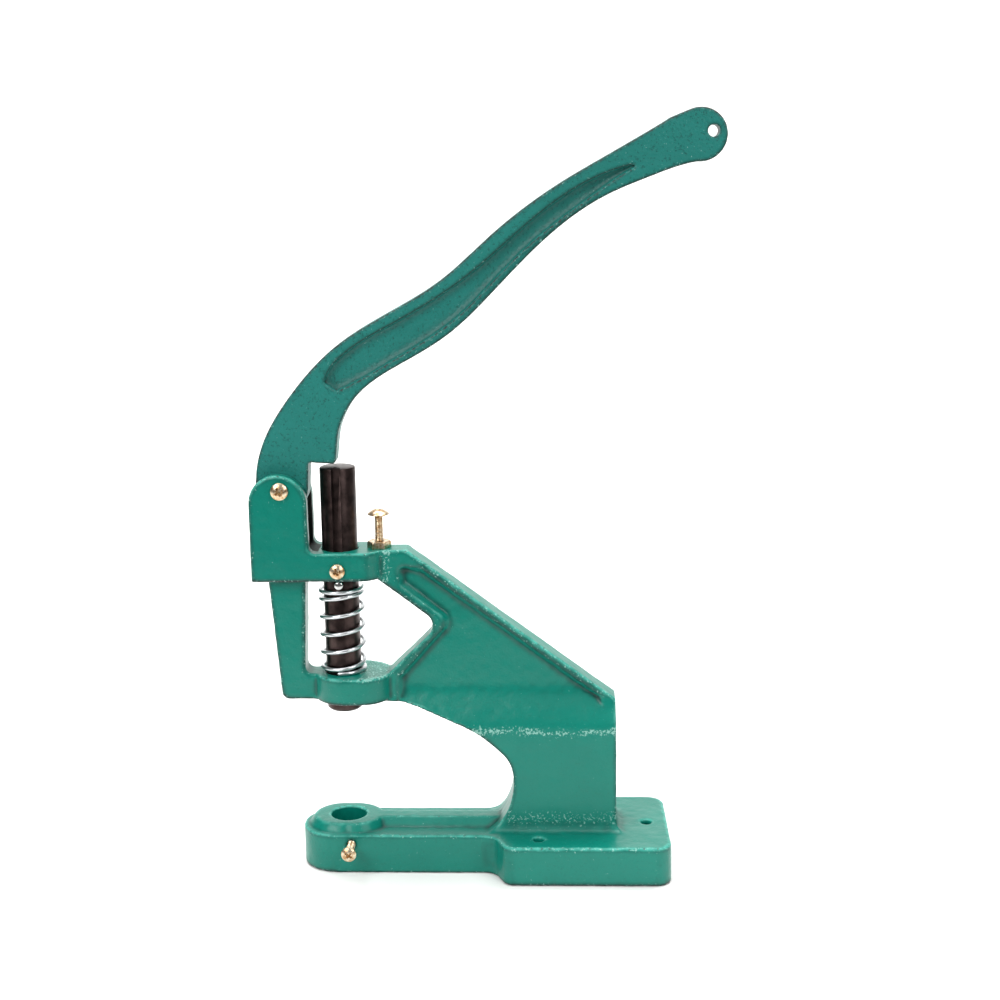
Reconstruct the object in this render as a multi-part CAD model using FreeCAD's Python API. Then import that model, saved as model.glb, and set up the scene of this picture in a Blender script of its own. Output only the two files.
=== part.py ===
import FreeCAD, Part
import math
import os

V = FreeCAD.Vector

# All sizes are millimetres. X runs from the front tip to the column, Y away from the
# operator's side, Z up. The ram and the die socket share the axis x = y = 0.

# --- casting --------------------------------------------------------------------------
HEAD_TOP = 148.2
HEAD_H = 12.9
HEAD_NOSE_X = 5.0
HEAD_OVERHANG = 14.4
BOSS_TOP = 91.0
BOSS_H = 12.3
BOSS_WALL = 7.8
BOSS_LEFT_X = 2.5
BOSS_RIGHT_X = 7.0
STRUT_RISE = 0.2
BASE_H = 17.8
PLATE_W = 61.0
PLATE_CORNER = 7.5
ARM_W = 33.6
ARM_TIP = 20.8
SOCKET_RISE = 4.0
SOCKET_WALL = 4.5
SOCKET_BOSS_SHIFT = 3.0
SOCKET_FLOOR = 4.0
RIB_W = 7.2
COLUMN_BACK = 123.0
COLUMN_DEPTH = 46.4
COLUMN_W = 22.0
PLATE_BEHIND_COLUMN = 23.6
PLATE_BEFORE_THROAT = 3.6
WEB_W = 13.0
POCKET_FLOOR_W = 6.4
SLOPE_DROP = 69.4
SLOPE_START_X = 30.5
BENCH_HOLE_D = 4.8
BENCH_PAIR_SPACING = 40.4
BENCH_PAIR_BACK = 35.3
BENCH_SINGLE_BEHIND = 14.0

# --- ram, pin and spring --------------------------------------------------------------
RAM_D = 16.0
RAM_ABOVE_HEAD = 37.3
RAM_BELOW_BOSS = 5.3
RAM_CHAMFER = 1.0
DIE_THREAD_D = 7.0
DIE_THREAD_DEPTH = 16.0
KEYWAY_W = 4.0
KEYWAY_DEPTH = 2.2
SLIDE_GAP = 0.05
DIE_GAP = 0.1
THREAD_GAP = 0.03
CROSS_PIN_D = 4.0
PIN_TO_HEAD = 0.3
WIRE_D = 1.8
SPRING_TO_RAM = 0.7
SPRING_TURNS = 6.5

# --- lever ----------------------------------------------------------------------------
PIVOT_X = -24.4
PIVOT_ABOVE_HEAD = 28.5
LEVER_W = 12.0
LEVER_SIDE_GAP = 0.4
EAR_SIDE_W = 6.1
EAR_CROWN = 7.0
HUB_R = 11.7
HUB_TO_EAR = 0.1
TOE_REACH = 23.6
TOE_GAP = 1.9
HANDLE_END_R = 11.4
HANG_HOLE_D = 5.2
CHANNEL_DEPTH = 2.6

# --- screws ---------------------------------------------------------------------------
SCREW_HEAD_H = 2.6
PIVOT_SCREW_D = 4.0
PIVOT_GAP = 0.05
PIVOT_HEAD_D = 7.8
KEY_SCREW_UP = 5.0
KEY_SCREW_GAP = 0.25
KEY_HEAD_D = 6.8
STOP_SCREW_D = 4.2
STOP_SCREW_FROM_RAM = 9.8
STOP_SCREW_RISE = 17.8
STOP_HEAD_D = 10.0
STOP_NUT_WALL = 2.65
STOP_NUT_H = 3.2
CLAMP_SCREW_D = 4.0
CLAMP_SCREW_X = 2.6
CLAMP_SCREW_Z = 13.3
CLAMP_HEAD_D = 6.8
CLAMP_STANDOFF = 9.6

# --- worked out from the sizes above --------------------------------------------------
RAM_R = RAM_D / 2
HEAD_BOTTOM = HEAD_TOP - HEAD_H
BOSS_BOTTOM = BOSS_TOP - BOSS_H
BOSS_R = RAM_R + BOSS_WALL
RAM_TOP = HEAD_TOP + RAM_ABOVE_HEAD
RAM_BOTTOM = BOSS_BOTTOM - RAM_BELOW_BOSS
RAM_HOLE_R = RAM_R + SLIDE_GAP
SOCKET_R = RAM_R + DIE_GAP
SOCKET_TOP = BASE_H + SOCKET_RISE
SOCKET_BOSS_R = RAM_R + SOCKET_WALL
THROAT_BACK = COLUMN_BACK - COLUMN_DEPTH
PLATE_FRONT = THROAT_BACK - PLATE_BEFORE_THROAT
PLATE_BACK = COLUMN_BACK + PLATE_BEHIND_COLUMN
SLOPE_END_Z = HEAD_TOP - SLOPE_DROP
EAR_SLOT_W = LEVER_W + 2 * LEVER_SIDE_GAP
HEAD_W = max(EAR_SLOT_W + 2 * EAR_SIDE_W, RAM_D + 9.0)
HEAD_NOSE_R = HEAD_W / 2 + 2.5
PIVOT_Z = HEAD_TOP + PIVOT_ABOVE_HEAD
HEAD_FRONT = HEAD_OVERHANG - PIVOT_X
EAR_REACH = -PIVOT_X - HUB_R + HUB_TO_EAR
EAR_TOP = PIVOT_Z + EAR_CROWN
HANDLE_END_X = PIVOT_X + 183.6
HANDLE_END_Z = PIVOT_Z + 149.8
TOE_Z = RAM_TOP + TOE_GAP
CROSS_PIN_Z = HEAD_BOTTOM - PIN_TO_HEAD - CROSS_PIN_D / 2
SPRING_TOP = CROSS_PIN_Z - CROSS_PIN_D / 2
SPRING_OD = RAM_D + 2 * SPRING_TO_RAM + 2 * WIRE_D
CROSS_PIN_L = SPRING_OD
KEYWAY_END = CROSS_PIN_Z + CROSS_PIN_D / 2 + 2.0
KEY_SCREW_D = KEYWAY_W - 2 * KEY_SCREW_GAP
KEY_SCREW_Z = HEAD_BOTTOM + KEY_SCREW_UP
KEY_TIP_Y = -RAM_R + KEYWAY_DEPTH - 0.3
CLAMP_TIP_Y = -SOCKET_R - 0.4
STOP_SCREW_X = RAM_R + STOP_SCREW_FROM_RAM
STOP_SCREW_TOP = HEAD_TOP + STOP_SCREW_RISE
STOP_NUT_FLATS = STOP_SCREW_D + 2 * STOP_NUT_WALL
STRUT_BOTTOM = BOSS_BOTTOM + STRUT_RISE
WINDOW_KNEE_Z = BOSS_TOP + 0.547 * (HEAD_BOTTOM - BOSS_TOP)
BENCH_PAIR_X = COLUMN_BACK - BENCH_PAIR_BACK
BENCH_SINGLE_X = COLUMN_BACK + BENCH_SINGLE_BEHIND


def flat(u, v, plane):
    """A point given in a drawing plane: xz faces the operator, xy lies flat, yz is the end view."""
    return {"xz": V(u, 0, v), "xy": V(u, v, 0), "yz": V(0, u, v)}[plane]


def rounded_outline(corners, plane="xz"):
    """Closed face from (u, v, radius) corners joined by straight lines."""
    edges = []
    ends = []
    count = len(corners)
    for i in range(count):
        u, v, radius = corners[i]
        here = flat(u, v, plane)
        if radius == 0:
            ends.append((here, None, here))
            continue
        before = flat(corners[i - 1][0], corners[i - 1][1], plane) - here
        after = flat(corners[(i + 1) % count][0], corners[(i + 1) % count][1], plane) - here
        before.normalize()
        after.normalize()
        half = before.getAngle(after) / 2
        reach = radius / math.tan(half)
        bisector = before + after
        bisector.normalize()
        middle = here + bisector * (radius / math.sin(half) - radius)
        ends.append((here + before * reach, middle, here + after * reach))
    for i in range(count):
        start, middle, end = ends[i]
        if middle is not None:
            edges.append(Part.Arc(start, middle, end).toShape())
        following = ends[(i + 1) % count][0]
        if (following - end).Length > 1e-6:
            edges.append(Part.makeLine(end, following))
    return Part.Face(Part.Wire(edges))


def smooth_edge(points, start_way=None, end_way=None, plane="xz"):
    """One smooth curve through the points, with optional end directions."""
    curve = Part.BSplineCurve()
    places = [flat(u, v, plane) for u, v in points]
    if start_way is None:
        curve.interpolate(places)
    else:
        curve.interpolate(
            Points=places,
            InitialTangent=flat(start_way[0], start_way[1], plane),
            FinalTangent=flat(end_way[0], end_way[1], plane),
        )
    return curve.toShape()


def chain(points, plane="xz"):
    """Straight edges through the points."""
    return [
        Part.makeLine(flat(*points[i], plane), flat(*points[i + 1], plane))
        for i in range(len(points) - 1)
    ]


def thick(face, width):
    """A face in the xz plane given a width centred on y = 0."""
    solid = face.extrude(V(0, width, 0))
    solid.translate(V(0, -width / 2, 0))
    return solid


def slot_prism(x_left, x_right, radius, bottom, top):
    """Upright solid with two round ends of one radius."""
    parts = [Part.makeCylinder(radius, top - bottom, V(x, 0, bottom)) for x in (x_left, x_right)]
    if x_right > x_left:
        parts.append(Part.makeBox(x_right - x_left, 2 * radius, top - bottom, V(x_left, -radius, bottom)))
    solid = parts[0].multiFuse(parts[1:])
    return solid.removeSplitter()


def along_y(diameter, x, z, y_from, y_to):
    """Round bar along Y."""
    return Part.makeCylinder(diameter / 2, y_to - y_from, V(x, y_from, z), V(0, 1, 0))


def cross_recess(head_d, depth):
    """Cross shaped driver recess, open at z = 0 and going down."""
    length = head_d * 0.56
    width = head_d * 0.15
    top = Part.makeBox(length, width, depth, V(-length / 2, -width / 2, -depth))
    side = Part.makeBox(width, length, depth, V(-width / 2, -length / 2, -depth))
    core = Part.makeCone(0.3, width * 0.95, depth * 1.1, V(0, 0, -depth * 1.1))
    return top.fuse([side, core])


def pan_screw(shank_d, head_d, head_h, length):
    """Screw standing on z = 0: domed head above, shank below."""
    rim = head_h * 0.55
    dome = Part.makeCylinder(head_d / 2, rim)
    sphere_r = ((head_d / 2) ** 2 + (head_h - rim) ** 2) / (2 * (head_h - rim))
    ball = Part.makeSphere(sphere_r, V(0, 0, head_h - sphere_r))
    cap = ball.common(Part.makeCylinder(head_d / 2, head_h - rim, V(0, 0, rim)))
    shank = Part.makeCylinder(shank_d / 2, length, V(0, 0, -length))
    shank = shank.makeChamfer(0.5, [e for e in shank.Edges if abs(e.BoundBox.ZMax + length) < 1e-6])
    solid = dome.fuse([cap, shank]).removeSplitter()
    recess = cross_recess(head_d, head_h * 0.62)
    recess.translate(V(0, 0, head_h))
    return solid.cut(recess)


def facing_operator(solid, x, y, z):
    """Turn a screw so its head looks along -Y and set its seat at the given point."""
    turned = solid.copy()
    turned.rotate(V(0, 0, 0), V(1, 0, 0), 90)
    turned.translate(V(x, y, z))
    return turned


# --- casting --------------------------------------------------------------------------
def base_slab():
    half_plate = PLATE_W / 2
    half_arm = ARM_W / 2
    neck = PLATE_FRONT - 5.5
    side = [
        (-ARM_TIP, -half_arm, half_arm - 0.4),
        (neck, -half_arm, 8.0),
        (PLATE_FRONT, -half_plate, 6.0),
        (PLATE_BACK, -half_plate, PLATE_CORNER),
    ]
    mirrored = [(x, -y, r) for x, y, r in reversed(side)]
    return rounded_outline(side + mirrored, "xy").extrude(V(0, 0, BASE_H))


def socket_boss():
    foot = slot_prism(-SOCKET_BOSS_SHIFT, SOCKET_BOSS_SHIFT, SOCKET_BOSS_R, BASE_H - 2, SOCKET_TOP)
    rise = SOCKET_TOP - BASE_H
    skirts = []
    for x in (-SOCKET_BOSS_SHIFT, SOCKET_BOSS_SHIFT):
        skirts.append(Part.makeCone(SOCKET_BOSS_R + rise * 0.7, SOCKET_BOSS_R, rise, V(x, 0, BASE_H)))
    return foot.fuse(skirts)


def arm_rib():
    """Low rib along the arm, with sloping sides."""
    half = RIB_W / 2
    spread = (SOCKET_TOP - BASE_H) * 0.9
    outline = [(-half, SOCKET_TOP), (half, SOCKET_TOP), (half + spread, BASE_H), (half + spread, BASE_H - 3)]
    outline += [(-half - spread, BASE_H - 3), (-half - spread, BASE_H), (-half, SOCKET_TOP)]
    face = Part.Face(Part.Wire(chain(outline, "yz")))
    rib = face.extrude(V(THROAT_BACK, 0, 0))
    return rib


def side_outline():
    """Outline of the strut, web and column as the operator sees it."""
    throat_drop = BOSS_BOTTOM
    throat = smooth_edge(
        [
            (BOSS_RIGHT_X + BOSS_R - 0.3, throat_drop - 0.9),
            (THROAT_BACK - 32.4, throat_drop - 7.7),
            (THROAT_BACK - 18.6, BASE_H + 0.778 * (throat_drop - BASE_H)),
            (THROAT_BACK - 7.6, BASE_H + 0.640 * (throat_drop - BASE_H)),
            (THROAT_BACK - 2.2, BASE_H + 0.540 * (throat_drop - BASE_H)),
            (THROAT_BACK, BASE_H + 0.335 * (throat_drop - BASE_H)),
            (THROAT_BACK - 5.5, BASE_H + 5.0),
            (THROAT_BACK - 12.0, BASE_H),
        ],
        (1, -0.08),
        (-1, -0.35),
    )
    foot = BASE_H - 5
    back_r = 4.0
    arc_mid = back_r * (1 - math.sqrt(0.5))
    edges = chain([(THROAT_BACK - 12.0, BASE_H), (THROAT_BACK - 12.0, foot), (COLUMN_BACK + back_r, foot)])
    edges += chain([(COLUMN_BACK + back_r, foot), (COLUMN_BACK + back_r, BASE_H)])
    edges.append(
        Part.Arc(
            V(COLUMN_BACK + back_r, 0, BASE_H),
            V(COLUMN_BACK + arc_mid, 0, BASE_H + arc_mid),
            V(COLUMN_BACK, 0, BASE_H + back_r),
        ).toShape()
    )
    edges += chain(
        [
            (COLUMN_BACK, BASE_H + back_r),
            (COLUMN_BACK, SLOPE_END_Z),
            (SLOPE_START_X, HEAD_TOP),
            (PIVOT_X - 7.9, HEAD_TOP),
            (PIVOT_X - 7.9, HEAD_BOTTOM),
            (PIVOT_X - 3.5, STRUT_BOTTOM + 2.0),
            (PIVOT_X - 1.6, STRUT_BOTTOM),
            (5.0, STRUT_BOTTOM),
            (8.0, throat_drop),
            (BOSS_RIGHT_X + BOSS_R - 0.3, throat_drop - 0.9),
        ]
    )
    edges.append(throat)
    return Part.Face(Part.Wire(Part.__sortEdges__(edges)))


def end_outline():
    """Half widths of the web and column seen from the end, wide at the foot."""
    web = WEB_W / 2
    column = COLUMN_W / 2
    ramp_low = BOSS_BOTTOM - 14.0
    ramp_high = BOSS_BOTTOM + 1.5
    foot_r = 4.5
    bow = foot_r * (1 - math.sqrt(0.5))
    right = [
        Part.makeLine(flat(column + foot_r, BASE_H - 5, "yz"), flat(column + foot_r, BASE_H, "yz")),
        Part.Arc(
            flat(column + foot_r, BASE_H, "yz"),
            flat(column + bow, BASE_H + bow, "yz"),
            flat(column, BASE_H + foot_r, "yz"),
        ).toShape(),
        Part.makeLine(flat(column, BASE_H + foot_r, "yz"), flat(column, ramp_low, "yz")),
        smooth_edge([(column, ramp_low), (web, ramp_high)], (0, 1), (0, 1), "yz"),
        Part.makeLine(flat(web, ramp_high, "yz"), flat(web, HEAD_TOP, "yz")),
    ]
    left = [edge.mirror(V(0, 0, 0), V(0, 1, 0)) for edge in right]
    closing = chain([(web, HEAD_TOP), (-web, HEAD_TOP)], "yz")
    closing += chain([(column + foot_r, BASE_H - 5), (-column - foot_r, BASE_H - 5)], "yz")
    return Part.Face(Part.Wire(Part.__sortEdges__(right + left + closing)))


def web_and_column():
    plate = thick(side_outline(), PLATE_W)
    slab = end_outline().extrude(V(COLUMN_BACK + 60, 0, 0))
    slab.translate(V(-40, 0, 0))
    return plate.common(slab)


def window_cut():
    """The opening that holds the spring and shows the ram."""
    corners = [
        (PIVOT_X + 9.0, HEAD_BOTTOM, 0),
        (PIVOT_X + 7.4, BOSS_TOP, 3.0),
        (BOSS_RIGHT_X + BOSS_R - 2.0, BOSS_TOP, 0),
        (SLOPE_START_X + 13.8, WINDOW_KNEE_Z - 1.4, 6.0),
        (SLOPE_START_X - 14.0, HEAD_BOTTOM, 3.0),
    ]
    return thick(rounded_outline(corners), PLATE_W)


def pocket_corners(inset):
    """Outline of the recessed panel, drawn smaller by an inset."""
    fall = (HEAD_TOP - SLOPE_END_Z) / (COLUMN_BACK - SLOPE_START_X)
    rim = 3.4 + inset / math.cos(math.atan(fall))
    right = COLUMN_BACK - 6.0 - inset * 1.6
    top_left = SLOPE_START_X + 5.5 + inset * 0.4
    low_left = BOSS_RIGHT_X + BOSS_R + 1.7 + inset * 1.3
    tip_x = SLOPE_START_X - 5.0 + inset * 1.1
    tip_r = 3.2 - inset * 0.7
    return [
        (tip_x, HEAD_TOP - 7.0 - inset * 0.7, tip_r),
        (top_left, HEAD_TOP - fall * (top_left - SLOPE_START_X) - rim, 5.0),
        (right, HEAD_TOP - fall * (right - SLOPE_START_X) - rim, 1.5),
        (right, BASE_H + 30, 0),
        (low_left, BASE_H + 30, 0),
        (low_left, BOSS_TOP - 2.5, 2.0),
        (SLOPE_START_X + 18.0 + inset * 1.2, WINDOW_KNEE_Z, 5.5),
        (tip_x + 1.0, HEAD_BOTTOM - 3.6 + inset * 0.8, tip_r),
    ]


def pocket_cut():
    """Both side pockets: sloped walls, and a floor that runs out over the column ramp."""
    web = WEB_W / 2
    floor = POCKET_FLOOR_W / 2
    mouth = rounded_outline(pocket_corners(0)).OuterWire
    inner = rounded_outline(pocket_corners(2.6)).OuterWire
    mouth.translate(V(0, -web - 0.01, 0))
    inner.translate(V(0, -floor, 0))
    draft = Part.makeLoft([mouth, inner], True, True)
    column = COLUMN_W / 2
    outer = rounded_outline(pocket_corners(0))
    outer.translate(V(0, -column - 3, 0))
    sleeve = outer.extrude(V(0, column + 3 - web, 0))
    ramp_low = BOSS_BOTTOM - 13.0
    ramp_high = BOSS_BOTTOM + 7.0
    edges = chain(
        [
            (-column - 3, ramp_low),
            (-column - 3, HEAD_TOP),
            (-floor, HEAD_TOP),
            (-floor, ramp_high),
        ],
        "yz",
    )
    edges.append(smooth_edge([(-floor, ramp_high), (-column, ramp_low)], (0, -1), (0, -1), "yz"))
    edges += chain([(-column, ramp_low), (-column - 3, ramp_low)], "yz")
    reach = Part.Face(Part.Wire(Part.__sortEdges__(edges))).extrude(V(COLUMN_BACK + 20, 0, 0))
    near = draft.fuse(sleeve).common(reach)
    far = near.mirror(V(0, 0, 0), V(0, 1, 0))
    return [near, far]


def head_block():
    """Head with its round nose behind the ram."""
    block = Part.makeBox(HEAD_FRONT + HEAD_NOSE_X, HEAD_W, HEAD_H, V(-HEAD_FRONT, -HEAD_W / 2, HEAD_BOTTOM))
    nose = slot_prism(HEAD_NOSE_X, HEAD_NOSE_X, HEAD_NOSE_R, HEAD_BOTTOM, HEAD_TOP)
    keep = Part.makeBox(100, HEAD_W, 400, V(-50, -HEAD_W / 2, 0))
    return block.fuse(nose.common(keep))


def ears():
    """Two round-topped ears with the lever slot between them."""
    radius = (HEAD_FRONT - EAR_REACH) / 2
    centre_x = -(HEAD_FRONT + EAR_REACH) / 2
    corners = [
        (-HEAD_FRONT, HEAD_BOTTOM, 0),
        (-EAR_REACH, HEAD_BOTTOM, 0),
        (-EAR_REACH, EAR_TOP - radius, 0),
    ]
    edges = chain([(c[0], c[1]) for c in corners])
    edges.append(
        Part.Arc(
            V(-EAR_REACH, 0, EAR_TOP - radius),
            V(centre_x, 0, EAR_TOP),
            V(-HEAD_FRONT, 0, EAR_TOP - radius),
        ).toShape()
    )
    edges += chain([(-HEAD_FRONT, EAR_TOP - radius), (-HEAD_FRONT, HEAD_BOTTOM)])
    pair = thick(Part.Face(Part.Wire(edges)), HEAD_W)
    slot = Part.makeBox(HEAD_FRONT, EAR_SLOT_W, EAR_TOP, V(-HEAD_FRONT - 2, -EAR_SLOT_W / 2, HEAD_TOP))
    return pair.cut(slot)


def ear_root():
    """Small fillet where each ear meets the top of the head."""
    r = 3.0
    bow = r * (1 - math.sqrt(0.5))
    edges = chain([(-EAR_REACH, HEAD_TOP + r), (-EAR_REACH - 1, HEAD_TOP + r), (-EAR_REACH - 1, HEAD_TOP - 1)])
    edges += chain([(-EAR_REACH - 1, HEAD_TOP - 1), (-EAR_REACH + r, HEAD_TOP - 1)])
    edges += chain([(-EAR_REACH + r, HEAD_TOP - 1), (-EAR_REACH + r, HEAD_TOP)])
    edges.append(
        Part.Arc(
            V(-EAR_REACH + r, 0, HEAD_TOP),
            V(-EAR_REACH + bow, 0, HEAD_TOP + bow),
            V(-EAR_REACH, 0, HEAD_TOP + r),
        ).toShape()
    )
    fillet = thick(Part.Face(Part.Wire(Part.__sortEdges__(edges))), HEAD_W)
    return fillet.cut(Part.makeBox(20, EAR_SLOT_W, 20, V(-EAR_REACH - 10, -EAR_SLOT_W / 2, HEAD_TOP)))


def frame_casting():
    body = base_slab().multiFuse(
        [
            socket_boss(),
            arm_rib(),
            web_and_column().cut(window_cut()),
            head_block(),
            ears(),
            ear_root(),
            slot_prism(BOSS_LEFT_X, BOSS_RIGHT_X, BOSS_R, BOSS_BOTTOM, BOSS_TOP),
        ]
    )
    cuts = pocket_cut()
    cuts.append(Part.makeCylinder(RAM_HOLE_R, HEAD_TOP, V(0, 0, BOSS_BOTTOM - 1)))
    cuts.append(Part.makeCylinder(SOCKET_R, SOCKET_TOP, V(0, 0, SOCKET_FLOOR)))
    cuts.append(along_y(PIVOT_SCREW_D + 2 * PIVOT_GAP, PIVOT_X, PIVOT_Z, -HEAD_W, 0))
    cuts.append(along_y(PIVOT_SCREW_D, PIVOT_X, PIVOT_Z, 0, HEAD_W))
    cuts.append(along_y(KEY_SCREW_D, 0, KEY_SCREW_Z, -HEAD_W, 0))
    cuts.append(along_y(CLAMP_SCREW_D + 2 * THREAD_GAP, CLAMP_SCREW_X, CLAMP_SCREW_Z, -ARM_W, 0))
    stop_r = STOP_SCREW_D / 2 + THREAD_GAP
    cuts.append(Part.makeCylinder(stop_r, HEAD_TOP, V(STOP_SCREW_X, 0, HEAD_BOTTOM - 20)))
    for x, y in bench_holes():
        cuts.append(Part.makeCylinder(BENCH_HOLE_D / 2, BASE_H + 2, V(x, y, -1)))
    return body.removeSplitter().cut(cuts).removeSplitter()


def bench_holes():
    half = BENCH_PAIR_SPACING / 2
    return [(BENCH_PAIR_X, -half), (BENCH_PAIR_X, half), (BENCH_SINGLE_X, 0)]


# --- lever ----------------------------------------------------------------------------
def from_pivot(steps):
    """Points given as distances from the pivot."""
    return [(PIVOT_X + right, PIVOT_Z + up) for right, up in steps]


def lever_outline():
    toe_tip = (PIVOT_X + TOE_REACH, TOE_Z)
    toe_root = (PIVOT_X + HUB_R + 0.5, TOE_Z + 0.8)
    hub_left = (PIVOT_X - HUB_R, PIVOT_Z)
    hub_right = (PIVOT_X + HUB_R, PIVOT_Z)
    end_top = (HANDLE_END_X - 4.2, HANDLE_END_Z + math.sqrt(HANDLE_END_R ** 2 - 4.2 ** 2))
    end_low = (HANDLE_END_X - 1.5, HANDLE_END_Z - math.sqrt(HANDLE_END_R ** 2 - 1.5 ** 2))
    back = smooth_edge(
        [hub_left]
        + from_pivot([(-10.5, 11.8), (6.0, 42.4), (23.8, 61.0), (50.5, 77.5), (72.5, 90.6)])
        + from_pivot([(94.4, 109.4), (120.2, 128.4), (145.6, 142.8), (170.7, 156.9)])
        + [end_top],
        (0, 1),
        (11.0, 4.3),
    )
    front = smooth_edge(
        [end_low]
        + from_pivot([(162.4, 132.7), (145.5, 126.0), (128.5, 115.9), (111.4, 101.5), (93.9, 83.9)])
        + from_pivot([(76.3, 67.8), (58.7, 56.9), (40.9, 46.4), (31.8, 37.2), (27.0, 27.8)])
        + [(toe_tip[0] + 0.9, toe_tip[1] + 1.0)],
        (-1, -0.15),
        (-0.12, -1),
    )
    hub = Part.Arc(
        flat(*hub_right, "xz"),
        flat(PIVOT_X, PIVOT_Z - HUB_R, "xz"),
        flat(*hub_left, "xz"),
    ).toShape()
    end = Part.Arc(
        flat(*end_top, "xz"),
        flat(HANDLE_END_X + HANDLE_END_R, HANDLE_END_Z, "xz"),
        flat(*end_low, "xz"),
    ).toShape()
    toe = chain([(toe_tip[0] + 0.9, toe_tip[1] + 1.0), toe_tip, toe_root, hub_right])
    return Part.Face(Part.Wire(Part.__sortEdges__([back, end, front, hub] + toe)))


def channel_outline():
    """The long hollow in each side of the handle."""
    back = smooth_edge(
        from_pivot([(20.6, 47.0), (23.5, 53.1), (30.8, 60.2), (54.8, 74.0), (85.5, 93.2)])
        + from_pivot([(109.4, 113.2), (132.9, 129.6), (159.0, 138.4)])
    )
    front = smooth_edge(
        from_pivot([(159.0, 138.4), (149.7, 133.4), (137.1, 124.8), (124.3, 115.8), (100.6, 95.5)])
        + from_pivot([(78.6, 74.0), (54.3, 58.3), (32.1, 46.0), (25.8, 43.2)])
    )
    end = chain(from_pivot([(25.8, 43.2), (20.6, 47.0)]))
    return Part.Face(Part.Wire([back, front] + end))


def lever():
    body = thick(lever_outline(), LEVER_W)
    hollow = channel_outline().extrude(V(0, CHANNEL_DEPTH + 1, 0))
    near = hollow.copy()
    near.translate(V(0, -LEVER_W / 2 - 1, 0))
    far = hollow.copy()
    far.translate(V(0, LEVER_W / 2 - CHANNEL_DEPTH, 0))
    hang = along_y(HANG_HOLE_D, HANDLE_END_X + 5.6, HANDLE_END_Z + 1.4, -LEVER_W, LEVER_W)
    pivot = along_y(PIVOT_SCREW_D + 2 * PIVOT_GAP, PIVOT_X, PIVOT_Z, -LEVER_W, LEVER_W)
    return body.cut([near, far, hang, pivot])


# --- ram group ------------------------------------------------------------------------
def ram():
    bar = Part.makeCylinder(RAM_D / 2, RAM_TOP - RAM_BOTTOM, V(0, 0, RAM_BOTTOM))
    rims = [e for e in bar.Edges if e.Length > RAM_D * 3 and e.BoundBox.ZLength < 1e-6]
    bar = bar.makeChamfer(RAM_CHAMFER, rims)
    keyway = Part.makeBox(
        KEYWAY_W, KEYWAY_DEPTH + 1, RAM_TOP, V(-KEYWAY_W / 2, -RAM_D / 2 - 1, KEYWAY_END)
    )
    pin_hole = along_y(CROSS_PIN_D, 0, CROSS_PIN_Z, -RAM_D, RAM_D)
    die_hole = Part.makeCylinder(DIE_THREAD_D / 2, DIE_THREAD_DEPTH, V(0, 0, RAM_BOTTOM))
    return bar.cut([keyway, pin_hole, die_hole])


def cross_pin():
    pin = along_y(CROSS_PIN_D, 0, CROSS_PIN_Z, -CROSS_PIN_L / 2, CROSS_PIN_L / 2)
    return pin.makeChamfer(0.4, [e for e in pin.Edges if e.BoundBox.YLength < 1e-6])


def return_spring():
    """Compression spring with a closed coil at each end."""
    radius = (SPRING_OD - WIRE_D) / 2
    low = BOSS_TOP + WIRE_D / 2
    high = SPRING_TOP - WIRE_D / 2
    closed = WIRE_D * 1.04
    steps = [(0.0, low), (1.0, low + closed), (SPRING_TURNS - 1.0, high - closed), (SPRING_TURNS, high)]
    points = []
    per_turn = 16
    for (turn_a, z_a), (turn_b, z_b) in zip(steps, steps[1:]):
        count = int(round((turn_b - turn_a) * per_turn))
        for i in range(count):
            share = i / count
            turn = turn_a + share * (turn_b - turn_a)
            angle = 2 * math.pi * turn - 2.0
            points.append(V(radius * math.cos(angle), radius * math.sin(angle), z_a + share * (z_b - z_a)))
    angle = 2 * math.pi * SPRING_TURNS - 2.0
    points.append(V(radius * math.cos(angle), radius * math.sin(angle), high))
    path = Part.BSplineCurve()
    path.interpolate(points)
    spine = Part.Wire([path.toShape()])
    start = path.value(path.FirstParameter)
    way = path.tangent(path.FirstParameter)[0]
    section = Part.Wire([Part.makeCircle(WIRE_D / 2, start, way)])
    return spine.makePipeShell([section], True, True)


# --- screws ---------------------------------------------------------------------------
def pivot_screw():
    screw = pan_screw(PIVOT_SCREW_D, PIVOT_HEAD_D, SCREW_HEAD_H, HEAD_W)
    return facing_operator(screw, PIVOT_X, -HEAD_W / 2, PIVOT_Z)


def key_screw():
    screw = pan_screw(KEY_SCREW_D, KEY_HEAD_D, SCREW_HEAD_H, HEAD_W / 2 + KEY_TIP_Y)
    return facing_operator(screw, 0, -HEAD_W / 2, KEY_SCREW_Z)


def clamp_screw():
    seat = -ARM_W / 2 - CLAMP_STANDOFF
    screw = pan_screw(CLAMP_SCREW_D, CLAMP_HEAD_D, SCREW_HEAD_H, CLAMP_TIP_Y - seat)
    return facing_operator(screw, CLAMP_SCREW_X, seat, CLAMP_SCREW_Z)


def stop_screw():
    seat = STOP_SCREW_TOP - SCREW_HEAD_H
    screw = pan_screw(STOP_SCREW_D, STOP_HEAD_D, SCREW_HEAD_H, seat - HEAD_BOTTOM - 0.6)
    screw.translate(V(STOP_SCREW_X, 0, seat))
    return screw


def stop_lock_nut():
    reach = STOP_NUT_FLATS / math.sqrt(3)
    corners = [(reach * math.cos(math.radians(60 * i)), reach * math.sin(math.radians(60 * i)), 0) for i in range(6)]
    prism = rounded_outline(corners, "xy").extrude(V(0, 0, STOP_NUT_H))
    tip = Part.makeCone(reach + 1.6, reach - 0.5, STOP_NUT_H, V(0, 0, 0))
    nut = prism.common(tip).cut(Part.makeCylinder(STOP_SCREW_D / 2 + THREAD_GAP, STOP_NUT_H))
    nut.translate(V(STOP_SCREW_X, 0, HEAD_TOP))
    return nut


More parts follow.
